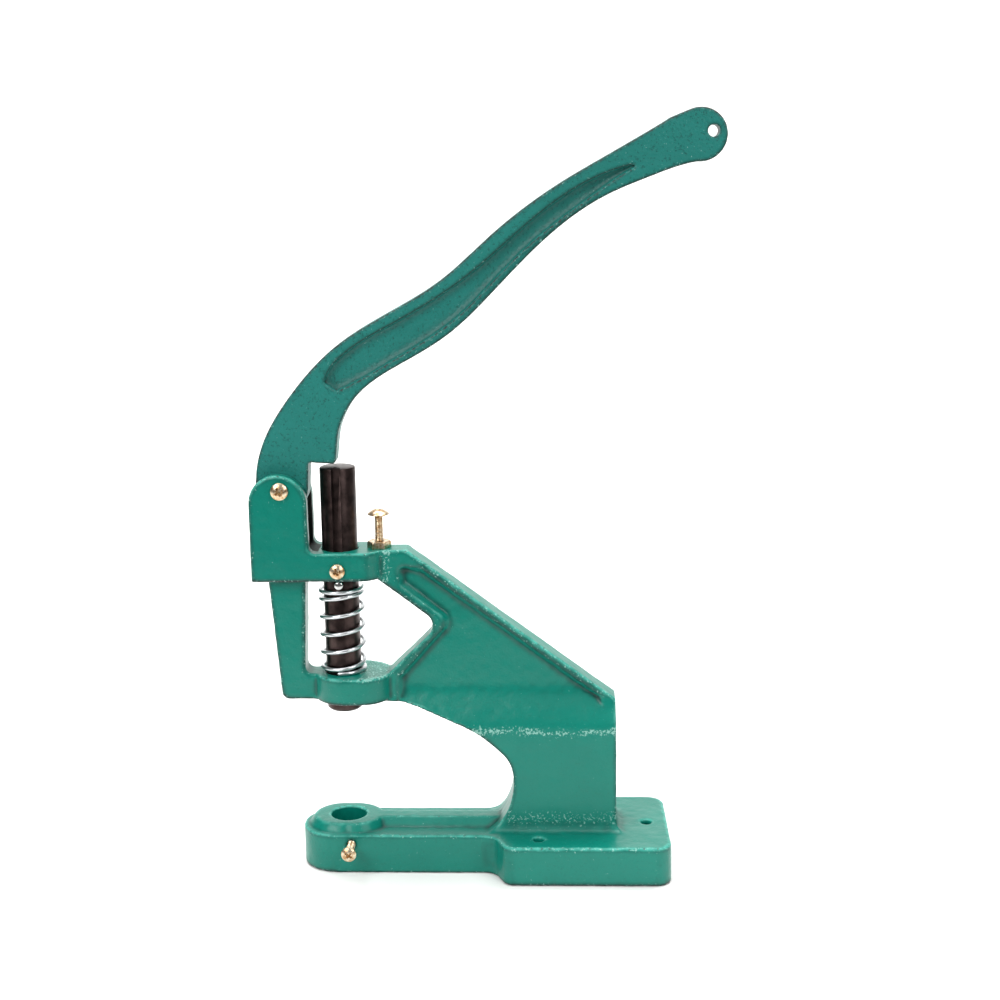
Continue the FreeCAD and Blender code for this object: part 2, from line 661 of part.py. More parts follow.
NODES = {
    "frame_casting": frame_casting,
    "lever": lever,
    "pivot_screw": pivot_screw,
    "ram": ram,
    "key_screw": key_screw,
    "cross_pin": cross_pin,
    "return_spring": return_spring,
    "stop_screw": stop_screw,
    "stop_lock_nut": stop_lock_nut,
    "clamp_screw": clamp_screw,
}

os.makedirs("parts", exist_ok=True)
for name, build in NODES.items():
    shape = build()
    if len(shape.Solids) == 1:
        shape = shape.Solids[0]
    shape.exportStep("parts/" + name + ".step")
    print(name, len(shape.Solids), shape.isValid(), round(shape.Volume, 1))
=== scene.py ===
# %% [markdown]
# # A hand press for snaps and eyelets
# The press is a green enamelled iron casting with a curved pull lever, a black
# ram that slides down against a bright spring, and a few yellow screws. The
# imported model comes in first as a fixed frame. Each piece is then built or
# softened on top of it, so every position comes from the frame, not from guesses.

import math

import bmesh
import bpy
import numpy as np
from mathutils import Matrix, Vector, noise


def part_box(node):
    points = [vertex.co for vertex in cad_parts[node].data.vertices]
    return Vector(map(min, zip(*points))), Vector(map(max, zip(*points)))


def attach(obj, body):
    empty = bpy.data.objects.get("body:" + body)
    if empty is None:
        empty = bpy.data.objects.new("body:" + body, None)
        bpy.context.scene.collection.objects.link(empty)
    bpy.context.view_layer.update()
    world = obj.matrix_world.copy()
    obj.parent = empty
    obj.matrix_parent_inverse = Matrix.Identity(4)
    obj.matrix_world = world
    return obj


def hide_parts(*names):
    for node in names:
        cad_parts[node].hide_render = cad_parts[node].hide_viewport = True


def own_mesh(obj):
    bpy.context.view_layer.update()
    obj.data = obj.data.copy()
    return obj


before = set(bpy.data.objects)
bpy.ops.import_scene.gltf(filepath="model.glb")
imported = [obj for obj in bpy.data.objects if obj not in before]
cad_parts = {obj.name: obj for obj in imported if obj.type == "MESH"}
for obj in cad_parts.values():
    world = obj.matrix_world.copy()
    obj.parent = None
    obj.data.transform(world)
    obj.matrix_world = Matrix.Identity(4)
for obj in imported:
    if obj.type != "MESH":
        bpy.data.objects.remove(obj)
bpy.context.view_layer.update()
MM = 0.001

# %% [markdown]
# ## Colours and nodes
# Colours are easiest to pick as sRGB hex values, but the renderer adds light in
# linear numbers, so one function turns the first into the second. A second small
# function adds a shader node with its settings and links, which keeps each
# material short enough to read from top to bottom.

# %% Colour and node helpers
def linear(hex_colour):
    """An sRGB hex colour as the linear RGBA that a shader socket wants."""
    values = [int(hex_colour[i:i + 2], 16) / 255 for i in (1, 3, 5)]
    return [v / 12.92 if v <= 0.04045 else ((v + 0.055) / 1.055) ** 2.4 for v in values] + [1.0]


def add_node(tree, kind, inputs, **settings):
    """Adds one node. An input is a plain value, or the output socket that feeds it."""
    made = tree.nodes.new(kind)
    for key, value in settings.items():
        setattr(made, key, value)
    for key, value in inputs.items():
        if isinstance(value, bpy.types.NodeSocket):
            tree.links.new(value, made.inputs[key])
        else:
            made.inputs[key].default_value = value
    return made


def new_finish(name):
    """An empty material, with its tree and the object coordinates in metres."""
    material = bpy.data.materials.new(name)
    material.use_nodes = True
    material.node_tree.nodes.clear()
    place = add_node(material.node_tree, "ShaderNodeTexCoord", {}).outputs["Object"]
    return material, material.node_tree, place


def features_of(size_mm):
    """Noise scale that gives features of about this size, as coordinates are in metres."""
    return 1 / (size_mm * MM)


def show(tree, shader):
    add_node(tree, "ShaderNodeOutputMaterial", {"Surface": shader.outputs["BSDF"]})


# %% [markdown]
# ## Enamel over cast iron
# Both castings are iron that was sand cast, fettled and brushed with a green
# alkyd enamel. The eye reads it from the gloss, from slow lumps left by the sand
# mould, and from a fine orange peel where the brush marks flowed out. Lumps,
# grains and peel are bump, since they are less than half a millimetre deep. Upper
# edges are chipped, and are also painted pale as a highlight. Hollows and lower
# edges are painted dark as shade. Pale specks on the grains are partly dust and
# partly painted glints, and dirt fills the pits between them. Four values stored
# on the mesh steer all this: how sharp an edge and how deep a hollow a point lies
# in, how grainy the casting is there, and where painted shade makes the lever
# slot nearly black. The specular level is below the usual 0.5, so that the green
# stays deep under large soft lights.

# %% Enamel
# The iron colour shows in chips and is also painted shade inside the lever slot; the pale specks
# are partly dust and partly painted glints.
BARE_IRON_AND_SLOT_SHADE, DUST_AND_GLINT = "#2E2B2A", "#A9DBCF"
# Width in mm, detail and roughness of each pattern. Moulding sand is about 0.4 mm
# across and is drawn coarser, so that it shows at this distance.
PATTERNS = {"drift": (24, 3.0, 0.5), "lumps": (4.5, 3.0, 0.5), "grains": (1.1, 5.0, 0.65),
            "flakes": (1.5, 5.0, 0.5)}
LUMPS_DEEP_MM, GRAINS_DEEP_MM = 0.35, 0.45


def brushed_enamel(name, body, thick, edge_highlight, shade_and_dirt, gloss, peel_mm, peel_depth_mm, chip_reach,
                   dirt, edge_highlight_strength):
    """Alkyd enamel on sand cast iron. Chips grow from edges as chip_reach rises."""
    material, tree, place = new_finish(name)
    edge, painted_corner_shade, grainy, painted_slot_shade = [
        add_node(tree, "ShaderNodeAttribute", {}, attribute_name=value).outputs["Fac"]
        for value in ("edge", "painted_corner_shade", "grainy", "painted_slot_shade")]
    # Orange peel is about 0.5 mm across on real paint, and is drawn coarser too.
    drift, lumps, grains, flakes, peel = [
        add_node(tree, "ShaderNodeTexNoise", {
            "Vector": place, "Scale": features_of(width_mm), "Detail": detail,
            "Roughness": roughness}).outputs["Fac"]
        for width_mm, detail, roughness in [*PATTERNS.values(), (peel_mm, 2.0, 0.5)]]

    coat = add_node(tree, "ShaderNodeMix", {
        "Factor": drift, 6: linear(body), 7: linear(thick)}, data_type="RGBA")
    # Painted shade: tight hollows and lower edges darken towards the shade colour.
    corner_shade_amount = add_node(tree, "ShaderNodeMapRange", {
        "Value": painted_corner_shade, "From Min": 0.08, "From Max": 0.75})
    corner_shaded = add_node(tree, "ShaderNodeMix", {
        "Factor": corner_shade_amount.outputs[0], 6: coat.outputs[2], 7: linear(shade_and_dirt)}, data_type="RGBA")
    # Painted highlight: upper edges turn pale where the lumps rise.
    edge_highlight_lumps = add_node(tree, "ShaderNodeMath", {0: edge, 1: lumps}, operation="MULTIPLY")
    edge_highlight_amount = add_node(tree, "ShaderNodeMapRange", {
        "Value": edge_highlight_lumps.outputs[0], "From Min": 0.15, "From Max": 0.55, "To Max": edge_highlight_strength})
    edge_highlighted = add_node(tree, "ShaderNodeMix", {
        "Factor": edge_highlight_amount.outputs[0], 6: corner_shaded.outputs[2], 7: linear(edge_highlight)}, data_type="RGBA")
    # Small pale specks, partly dust stuck in the wet paint and partly painted glints, thickest
    # where the casting is grainy.
    specks = add_node(tree, "ShaderNodeMath", {
        0: grainy, 1: 0.26, 2: grains}, operation="MULTIPLY_ADD")
    dust_and_glint = add_node(tree, "ShaderNodeMapRange", {
        "Value": specks.outputs[0], "From Min": 0.70, "From Max": 0.76, "To Max": 0.55})
    dusted_and_glinting = add_node(tree, "ShaderNodeMix", {
        "Factor": dust_and_glint.outputs[0], 6: edge_highlighted.outputs[2], 7: linear(DUST_AND_GLINT)},
        data_type="RGBA")
    # Dirt settles in the pits between the grains.
    pits = add_node(tree, "ShaderNodeMapRange", {
        "Value": grains, "From Min": 0.36, "From Max": 0.44, "To Min": dirt, "To Max": 0.0})
    dirty = add_node(tree, "ShaderNodeMix", {
        "Factor": pits.outputs[0], 6: dusted_and_glinting.outputs[2], 7: linear(shade_and_dirt)}, data_type="RGBA")
    # Flakes come off where an edge and a high spot of the flake pattern meet.
    chip_push = add_node(tree, "ShaderNodeMath", {
        0: edge, 1: chip_reach, 2: flakes}, operation="MULTIPLY_ADD")
    chip = add_node(tree, "ShaderNodeMapRange", {
        "Value": chip_push.outputs[0], "From Min": 0.74, "From Max": 0.90, "To Max": 0.85})
    # Chips show the iron; the lever slot gets the same dark colour as painted shade.
    chips_and_slot_shade = add_node(tree, "ShaderNodeMath", {
        0: chip.outputs[0], 1: painted_slot_shade}, operation="MAXIMUM")
    painted = add_node(tree, "ShaderNodeMix", {
        "Factor": chips_and_slot_shade.outputs[0], 6: dirty.outputs[2], 7: linear(BARE_IRON_AND_SLOT_SHADE)},
        data_type="RGBA")
    roughness = add_node(tree, "ShaderNodeMapRange", {
        "Value": chips_and_slot_shade.outputs[0], "To Min": gloss, "To Max": 0.7})

    cast = add_node(tree, "ShaderNodeBump", {
        "Height": lumps, "Distance": LUMPS_DEEP_MM * MM, "Strength": 0.6})
    sand = add_node(tree, "ShaderNodeBump", {
        "Height": grains, "Distance": GRAINS_DEEP_MM * MM, "Strength": grainy,
        "Normal": cast.outputs["Normal"]})
    brushed = add_node(tree, "ShaderNodeBump", {
        "Height": peel, "Distance": peel_depth_mm * MM, "Strength": 0.7,
        "Normal": sand.outputs["Normal"]})
    show(tree, add_node(tree, "ShaderNodeBsdfPrincipled", {
        "Base Color": painted.outputs[2], "Roughness": roughness.outputs[0], "IOR": 1.5,
        "Specular IOR Level": 0.35, "Normal": brushed.outputs["Normal"]}))
    return material


# Colours: body, thick coat, painted edge highlight, and painted shade that also colours the dirt
# in the pits.
casting_enamel = brushed_enamel(
    "gloss_enamel_on_cast_iron", "#007B6B", "#006E60", "#4FB5A4", "#00352F", gloss=0.34,
    peel_mm=1.0, peel_depth_mm=0.10, chip_reach=0.20, dirt=0.15, edge_highlight_strength=0.7)
lever_enamel = brushed_enamel(
    "satin_enamel_on_cast_iron", "#1F7C74", "#176C64", "#5AAFA4", "#083832", gloss=0.44,
    peel_mm=1.3, peel_depth_mm=0.40, chip_reach=0.55, dirt=0.60, edge_highlight_strength=0.3)
print("enamels:", casting_enamel.name, lever_enamel.name)

# %% [markdown]
# ## Metals
# The ram is turned steel with a black oxide bath finish: a brown black skin that
# stays satin, with faint turning rings. The screws are zinc plated and yellow
# passivated, which gives brass colour with patches of pink and green. The spring
# is drawn wire with a bright zinc plate, so it mirrors light and dark in sharp
# bands. The cross pin is ground steel.

# %% Metals
def metal(name, light, dark, patch_mm, roughness, spread, bump_mm, bump_depth_mm,
          stretch=(1, 1, 1)):
    """A metal that drifts in patches. stretch below 1 draws the bump out along an axis."""
    material, tree, place = new_finish(name)
    patches = add_node(tree, "ShaderNodeTexNoise", {
        "Vector": place, "Scale": features_of(patch_mm), "Detail": 4.0})
    drawn = add_node(tree, "ShaderNodeMapping", {"Vector": place, "Scale": stretch})
    marks = add_node(tree, "ShaderNodeTexNoise", {
        "Vector": drawn.outputs[0], "Scale": features_of(bump_mm), "Detail": 3.0})
    spots = add_node(tree, "ShaderNodeMapRange", {
        "Value": patches.outputs["Fac"], "From Min": 0.35, "From Max": 0.65})
    colour = add_node(tree, "ShaderNodeMix", {
        "Factor": spots.outputs[0], 6: linear(light), 7: linear(dark)}, data_type="RGBA")
    gloss = add_node(tree, "ShaderNodeMapRange", {
        "Value": marks.outputs["Fac"], "To Min": roughness - spread,
        "To Max": roughness + spread})
    bump = add_node(tree, "ShaderNodeBump", {
        "Height": marks.outputs["Fac"], "Distance": bump_depth_mm * MM, "Strength": 0.5})
    show(tree, add_node(tree, "ShaderNodeBsdfPrincipled", {
        "Base Color": colour.outputs[2], "Roughness": gloss.outputs[0], "Metallic": 1.0,
        "Normal": bump.outputs["Normal"]}))
    return material


# Turning rings run round the bar, so the marks are long across it and short along Z.
black_oxide = metal("black_oxide_turned_steel", "#4B3E3C", "#2E2625", 5.0, 0.36, 0.10, 0.5, 0.02,
                    (0.15, 0.15, 1))
yellow_zinc = metal("yellow_passivated_zinc", "#E6D9BE", "#B98F62", 1.6, 0.30, 0.08, 0.4, 0.012)
bright_zinc = metal("bright_zinc_plated_wire", "#E2E4E6", "#C3C7CA", 3.0, 0.30, 0.06, 0.4, 0.006)
ground_steel = metal("ground_steel_pin", "#D9D9D8", "#B4B4B2", 2.0, 0.22, 0.08, 0.3, 0.010,
                     (1, 0.2, 1))
print("metals:", black_oxide.name, yellow_zinc.name, bright_zinc.name, ground_steel.name)

# %% [markdown]
# ## Softening a casting
# A CAD solid has knife edges, and sand cast iron has none. A bevel would need
# clean edges to work on, and these shapes meet at too many angles. Instead, the
# mesh is copied and wrapped in an even skin of small faces (a voxel remesh), and
# each point is then moved part of the way to the middle of its neighbours, which
# rounds every edge and fills every corner by the same amount.

# %% Skin helpers
def skin_points(mesh):
    points = np.empty(len(mesh.vertices) * 3, np.float32)
    mesh.vertices.foreach_get("co", points)
    return points.reshape(-1, 3).astype(float)


def skin_edges(mesh):
    pairs = np.empty(len(mesh.edges) * 2, np.int32)
    mesh.edges.foreach_get("vertices", pairs)
    return pairs.reshape(-1, 2)


def neighbour_mean(values, pairs):
    """For each point, the average of the values at its neighbours."""
    count = np.bincount(pairs.ravel(), minlength=len(values))[:, None]
    total = np.stack([np.bincount(pairs[:, 0], column[pairs[:, 1]], len(values))
                      + np.bincount(pairs[:, 1], column[pairs[:, 0]], len(values))
                      for column in values.T], 1)
    return total / np.maximum(count, 1)


def bake(piece):
    """Turns a piece's modifiers into plain mesh."""
    modified = piece.evaluated_get(bpy.context.evaluated_depsgraph_get())
    result = bpy.data.meshes.new_from_object(modified)
    piece.modifiers.clear()
    piece.data = result
    return piece


def mesh_from(body, name):
    """Turns a finished bmesh into a mesh, and lets the bmesh go."""
    mesh = bpy.data.meshes.new(name)
    body.to_mesh(mesh)
    body.free()
    return mesh


def put_in_scene(name, mesh):
    piece = bpy.data.objects.new(name, mesh)
    bpy.context.collection.objects.link(piece)
    return piece


def even_skin(piece, voxel_mm):
    """Wraps a piece in an even skin of faces about voxel_mm wide."""
    wrap = piece.modifiers.new("skin", "REMESH")
    wrap.mode = "VOXEL"
    wrap.voxel_size = voxel_mm * MM
    wrap.use_smooth_shade = True
    return bake(piece)


def copy_of(node_name, piece_name):
    """A joined-up copy of a CAD node's mesh. The node itself isn't touched."""
    body = bmesh.new()
    body.from_mesh(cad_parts[node_name].data)
    bmesh.ops.remove_doubles(body, verts=body.verts, dist=0.001 * MM)
    return put_in_scene(piece_name, mesh_from(body, piece_name))


def soften(piece, passes):
    """A piece's points after this many smoothing passes, and its edges as pairs of points."""
    points, pairs = skin_points(piece.data), skin_edges(piece.data)
    for _ in range(passes):
        points += 0.5 * (neighbour_mean(points, pairs) - points)
    return points, pairs


def set_points(piece, points):
    piece.data.vertices.foreach_set("co", points.astype(np.float32).ravel())
    piece.data.update()


def normals_of(mesh):
    normals = np.empty(len(mesh.vertices) * 3, np.float32)
    mesh.vertex_normals.foreach_get("vector", normals)
    return normals.reshape(-1, 3)


def keep_value(mesh, name, values):
    """Stores one number per point, which a material can read by name."""
    stored = mesh.attributes.new(name, "FLOAT", "POINT")
    stored.data.foreach_set("value", values.astype(np.float32))


def mark_shape(piece, pairs, edge_full_mm):
    """Stores 0 to 1: sharp upper edges for painted highlight, hollows and lower edges for painted
    shade.
    """
    points = skin_points(piece.data)
    towards_neighbours = neighbour_mean(points, pairs) - points
    hollow = (towards_neighbours * normals_of(piece.data)).sum(1)[:, None]
    for _ in range(4):
        hollow = neighbour_mean(hollow, pairs)
    hollow = hollow[:, 0] / (edge_full_mm * MM)
    # Upper edges get the painted highlight; lower edges join the hollows in painted shade.
    upward = np.clip(0.45 + normals_of(piece.data)[:, 2], 0, 1)
    ridge = np.clip(-hollow, 0, 1)
    keep_value(piece.data, "edge", ridge * upward)
    keep_value(piece.data, "painted_corner_shade", np.clip(np.maximum(hollow, ridge * (1 - upward)), 0, 1))
    print(piece.name, "edge sharpness 99%", round(float(np.percentile(-hollow, 99)), 2))
    return ridge


# %% [markdown]
# ## The frame casting
# One iron casting carries the plate, arm, column, head and ears. Its sides are
# slightly lumpy from the sand. The lumps are real moves of the skin, but none are
# made near the ram, the spring and the lever slot, because those pieces have to
# clear it.

# %% Frame casting
CASTING_SKIN_MM, CASTING_PASSES = 0.6, 5
LUMP_MM, LUMP_HEIGHT_MM = 9.0, 0.16
LUMP_FREE_MM, LUMP_FADE_MM = 11.0, 4
SLOT_ROOT_MM, SLOT_HALF_MM = 147.0, 7.5

casting = even_skin(copy_of("frame_casting", "press_casting"), CASTING_SKIN_MM)
points, casting_pairs = soften(casting, CASTING_PASSES)
set_points(casting, points)


def lumpiness(point):
    """Slow bumps about LUMP_MM wide, with finer ones half as high on top."""
    return (noise.noise(Vector(point) / (LUMP_MM * MM))
            + 0.5 * noise.noise(Vector(point) / (LUMP_MM * 0.4 * MM)))


from_ram = np.hypot(points[:, 0], points[:, 1]) / MM
away_from_ram = np.clip((from_ram - LUMP_FREE_MM) / LUMP_FADE_MM, 0, 1)
by_slot = (points[:, 2] > SLOT_ROOT_MM * MM) & (np.abs(points[:, 1]) < SLOT_HALF_MM * MM)
lumps = np.array([lumpiness(p) for p in points]) * np.where(by_slot, 0.0, away_from_ram)
points += normals_of(casting.data) * (lumps * LUMP_HEIGHT_MM * MM)[:, None]
print("highest lump is", round(float(lumps.max()) * LUMP_HEIGHT_MM, 2), "mm")

# %% [markdown]
# Smoothing also closes round holes by a few hundredths of a millimetre. The hole
# that the ram slides in is opened again, by pushing its wall out to its radius
# and a little further.

# %% Open the ram's hole
SLIDING_ROOM_MM, WALL_REACH_MM = 0.07, 0.5


def open_hole(points, across, centre, radius_mm):
    """Pushes points just inside a hole out to its wall. across names its two round axes."""
    flat = points[:, across] - np.array(centre)
    radius = np.hypot(flat[:, 0], flat[:, 1])
    tight = (radius < radius_mm * MM) & (radius > (radius_mm - WALL_REACH_MM) * MM)
    outwards = flat[tight] * (radius_mm * MM / radius[tight])[:, None]
    points[np.ix_(tight, across)] = np.array(centre) + outwards
    return int(tight.sum())


ram_radius_mm = (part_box("ram")[1].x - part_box("ram")[0].x) / 2 / MM
moved = open_hole(points, [0, 1], (0.0, 0.0), ram_radius_mm + SLIDING_ROOM_MM)
set_points(casting, points)
print("hole points moved:", moved)

# %% [markdown]
# Paint looks different where the mould was rough. A grainy line wanders across
# the column, with more grain round the column's foot, along the top of the ram's
# boss and on a scuffed patch beside the head. Inside the lever slot, where shade
# falls between the ears, the iron is painted nearly black as painted shade.

# %% Where the casting is grainy, and the painted shade in the lever slot
CASTING_EDGE_MM = 0.042
PLATE_TOP, SAND_LINE, BOSS_TOP = 17.8, 64.5, 91.0
HEAD_LOW, HEAD_HIGH, SCUFF_X = 134, 149, 21.0
COLUMN_X = 58
SLOT_WALL_MM, SLOT_FLOOR, SLOT_RIGHT_X, SLOT_SHADE = 7.2, 147.6, -9, 0.9


def band(values, middle, width):
    """1 along a line, fading to almost nothing two widths away from it."""
    return np.exp(-((values - middle) / width) ** 2)


def between(values, low, high):
    return (values > low) & (values < high)


edges = mark_shape(casting, casting_pairs, CASTING_EDGE_MM)
height, along = points[:, 2] / MM, points[:, 0] / MM
wander = np.array([noise.noise(Vector((x / 9, 0.0, z / 5))) for x, z in zip(along, height)])
sand_line = (band(height, SAND_LINE + 1.5 * wander, 2.4) * (along > COLUMN_X)
             * np.clip(0.85 + wander, 0, 1))
scuff = band(along, SCUFF_X, 3.0) * between(height, HEAD_LOW, HEAD_HIGH)
boss_top = band(height, BOSS_TOP, 0.8) * between(along, 8, 30)
foot = band(height, PLATE_TOP + 6, 4.0) * between(along, 74, 124)
# Painted shade: the lever slot between the ears is coloured nearly black.
inside_slot = ((np.abs(points[:, 1]) < SLOT_WALL_MM * MM) & (height > SLOT_FLOOR)
               & (along < SLOT_RIGHT_X))
keep_value(casting.data, "painted_slot_shade", inside_slot.astype(float) * SLOT_SHADE)
keep_value(casting.data, "grainy", np.clip(
    0.06 + 0.85 * sand_line + 0.55 * foot + 0.45 * edges + 0.6 * scuff + 0.5 * boss_top, 0, 1))
casting.data.materials.append(casting_enamel)
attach(casting, "frame")
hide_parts("frame_casting")
print("casting has", len(casting.data.polygons), "faces")

# %% [markdown]
# ## The lever
# The lever is a second casting with a long channel in each side. Its paint has a
# stronger orange peel and a satin gloss. It gets a finer skin, because the
# channels are shallow. Their floors are found first, as points that face
# sideways and lie deeper in than the lever's flat sides, and that patch is spread
# outwards over the walls. The patch is then smoothed many more times than the
# rest, so that each channel becomes a soft dish with no sharp rim.

# %% Lever
LEVER_SKIN_MM, LEVER_PASSES, LEVER_EDGE_MM = 0.5, 7, 0.030
FLOOR_WITHIN_MM, FLOOR_FACING = 4.2, 0.85
SPREAD_PASSES, SPREAD_GAIN, CHANNEL_PASSES = 7, 1.4, 70

lever = even_skin(copy_of("lever", "pull_lever"), LEVER_SKIN_MM)
points, lever_pairs = soften(lever, LEVER_PASSES)
set_points(lever, points)
facing, from_middle = np.abs(normals_of(lever.data)[:, 1]), np.abs(points[:, 1]) / MM
channel = ((facing > FLOOR_FACING) & (from_middle < FLOOR_WITHIN_MM)).astype(float)[:, None]
for _ in range(SPREAD_PASSES):
    channel = np.clip(neighbour_mean(channel, lever_pairs) * SPREAD_GAIN, 0, 1)
for _ in range(CHANNEL_PASSES):
    points += 0.5 * channel * (neighbour_mean(points, lever_pairs) - points)
set_points(lever, points)
edges = mark_shape(lever, lever_pairs, LEVER_EDGE_MM)
keep_value(lever.data, "grainy", np.clip(0.12 + 0.30 * edges, 0, 1))
lever.data.materials.append(lever_enamel)
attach(lever, "lever")
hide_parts("lever")
print("lever has", len(lever.data.polygons), "faces")

# %% [markdown]
# ## The ram
# The ram is a round bar turned on a lathe, with a chamfer at each end, a keyway
# milled down its front, and a hole for the upper die. It is made the same way: a
# profile is spun into a bar, and a box is cut from it. A small bevel breaks the
# milled edges so that they catch a line of light.

# %% Turning and cutting
def turned(name, profile_mm, steps=96):
    """Spins (radius, height) points in mm about Z into a closed mesh."""
    body = bmesh.new()
    rings = [[body.verts.new((r * MM * math.cos(a), r * MM * math.sin(a), z * MM))
              for a in (2 * math.pi * i / steps for i in range(steps))] if r > 0
             else [body.verts.new((0, 0, z * MM))] for r, z in profile_mm]
    for lower, upper in zip(rings, rings[1:]):
        for i in range(steps):
            j = (i + 1) % steps
            corners = [ring[k % len(ring)]
                       for ring, k in ((lower, i), (lower, j), (upper, j), (upper, i))]
            body.faces.new(list(dict.fromkeys(corners)))
    bmesh.ops.recalc_face_normals(body, faces=body.faces)
    return put_in_scene(name, mesh_from(body, name))


def block(name, low_mm, high_mm):
    """A rectangular cutter between two corners."""
    body = bmesh.new()
    corners = [body.verts.new([(high_mm if i >> axis & 1 else low_mm)[axis] * MM
                               for axis in range(3)]) for i in range(8)]
    for face in ((0, 1, 3, 2), (4, 6, 7, 5), (0, 4, 5, 1), (2, 3, 7, 6), (0, 2, 6, 4),
                 (1, 5, 7, 3)):
        body.faces.new([corners[i] for i in face])
    bmesh.ops.recalc_face_normals(body, faces=body.faces)
    return put_in_scene(name, mesh_from(body, name))


def cut(piece, cutter):
    """Cuts one piece with another, which is used up."""
    knife = piece.modifiers.new("cut", "BOOLEAN")
    knife.operation, knife.solver, knife.object = "DIFFERENCE", "EXACT", cutter
    bake(piece)
    bpy.data.objects.remove(cutter)
    return piece


def finish_piece(piece, material, body, node_name):
    """Gives a piece its material, the body it moves with and the node it stands for."""
    piece.data.materials.clear()
    piece.data.materials.append(material)
    for face in piece.data.polygons:
        face.material_index = 0
    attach(piece, body)
    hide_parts(node_name)
    return piece


# %% Ram
ram_low, ram_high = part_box("ram")
BOTTOM, TOP = ram_low.z / MM, ram_high.z / MM
RAM_R, DIE_HOLE_R, DIE_HOLE_DEPTH = 8.0, 3.5, 16
KEYWAY_W_MM, KEYWAY_DEPTH_MM, KEYWAY_END_MM = 4.0, 2.2, 137.0
BROKEN_EDGE_MM = 0.25
ram = turned("keyed_ram", [
    (0, BOTTOM + DIE_HOLE_DEPTH), (DIE_HOLE_R, BOTTOM + DIE_HOLE_DEPTH), (DIE_HOLE_R, BOTTOM),
    (RAM_R - 1, BOTTOM), (RAM_R, BOTTOM + 1), (RAM_R, TOP - 0.7), (RAM_R - 0.2, TOP - 0.25),
    (RAM_R - 0.8, TOP), (0, TOP)])
cut(ram, block("keyway_cutter", (-KEYWAY_W_MM / 2, -RAM_R - 1, KEYWAY_END_MM),
               (KEYWAY_W_MM / 2, -RAM_R + KEYWAY_DEPTH_MM, TOP + 2)))
broken_edge = ram.modifiers.new("broken_edge", "BEVEL")
broken_edge.width, broken_edge.segments = BROKEN_EDGE_MM * MM, 2
broken_edge.angle_limit = math.radians(35)
bake(ram)
ram.data.shade_smooth()
ram.data.set_sharp_from_angle(angle=math.radians(40))
finish_piece(ram, black_oxide, "ram", "ram")
print("ram is", round(TOP - BOTTOM, 1), "mm long")

# %% [markdown]
# ## Cross pin
# The pin is a short ground rod with rounded ends. Only its ends show, just under
# the head, where it holds the spring's top coil.

# %% Cross pin
pin_low, pin_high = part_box("cross_pin")
PIN_R = (pin_high.x - pin_low.x) / 2 / MM
PIN_HALF = (pin_high.y - pin_low.y) / 2 / MM
PIN_DOME = 0.8
dome = [(PIN_R * math.sin(a), PIN_HALF - PIN_DOME + PIN_DOME * math.cos(a))
        for a in (math.pi / 2 * i / 6 for i in range(7))]
pin = turned("cross_pin_rod", [(r, -z) for r, z in dome] + dome[::-1], 48)
lying_along_y = Matrix.Rotation(math.pi / 2, 4, "X")
pin.data.transform(Matrix.Translation((0, 0, (pin_low.z + pin_high.z) / 2)) @ lying_along_y)
pin.data.shade_smooth()
finish_piece(pin, ground_steel, "ram", "cross_pin")
print("pin is", round(2 * PIN_HALF, 1), "mm long")

# %% [markdown]
# ## Return spring
# Round wire, wound in about six turns. The first and last turns are closed, so
# that the spring stands square on the boss and under the pin. A tube is swept
# along the winding line here in code, because the height changes at an uneven
# rate: slowly in the closed turns and quickly between them. The cut end of the
# wire shows at the front of the lowest turn.

# %% Return spring
WIRE_R, COIL_OUTSIDE_R, SPRING_TOP = 0.9, 10.5, 131.0
COIL_R = COIL_OUTSIDE_R - WIRE_R
LOWEST, HIGHEST = BOSS_TOP + WIRE_R, SPRING_TOP - WIRE_R
# Turns and height of the wire's centre: a closed turn, the open ones, a closed turn.
WINDING = [(0.0, LOWEST), (1.0, LOWEST + 1.9), (5.1, HIGHEST - 2.5), (6.3, HIGHEST)]
START_ANGLE = -1.72
POINTS_ALONG_WIRE = 404


def winding_point(turn):
    """Centre of the wire after this many turns."""
    height = np.interp(turn, [t for t, _ in WINDING], [z for _, z in WINDING])
    angle = START_ANGLE + 2 * math.pi * turn
    return Vector((COIL_R * math.cos(angle), COIL_R * math.sin(angle), height)) * MM


def join_rings(body, rings):
    """Faces between each ring of points and the next."""
    for first, second in zip(rings, rings[1:]):
        for k in range(len(first)):
            j = (k + 1) % len(first)
            body.faces.new((first[k], first[j], second[j], second[k]))


def wire_mesh(name, centre_line, radius, sides=14):
    """A round wire along a line of points, closed flat at both ends."""
    body, rings = bmesh.new(), []
    for i, centre in enumerate(centre_line):
        after, before = min(i + 1, len(centre_line) - 1), max(i - 1, 0)
        way = (centre_line[after] - centre_line[before]).normalized()
        side = way.cross(Vector((0, 0, 1))).normalized()
        up = side.cross(way)
        rings.append([body.verts.new(centre + radius * (math.cos(a) * side + math.sin(a) * up))
                      for a in (2 * math.pi * k / sides for k in range(sides))])
    join_rings(body, rings)
    body.faces.new(rings[0][::-1])
    body.faces.new(rings[-1])
    bmesh.ops.recalc_face_normals(body, faces=body.faces)
    return put_in_scene(name, mesh_from(body, name))


turns = np.linspace(0, WINDING[-1][0], POINTS_ALONG_WIRE)
spring = wire_mesh("wound_spring", [winding_point(t) for t in turns], WIRE_R * MM)
spring.data.shade_smooth()
spring.data.set_sharp_from_angle(angle=math.radians(50))
finish_piece(spring, bright_zinc, "frame", "return_spring")
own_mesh(spring)

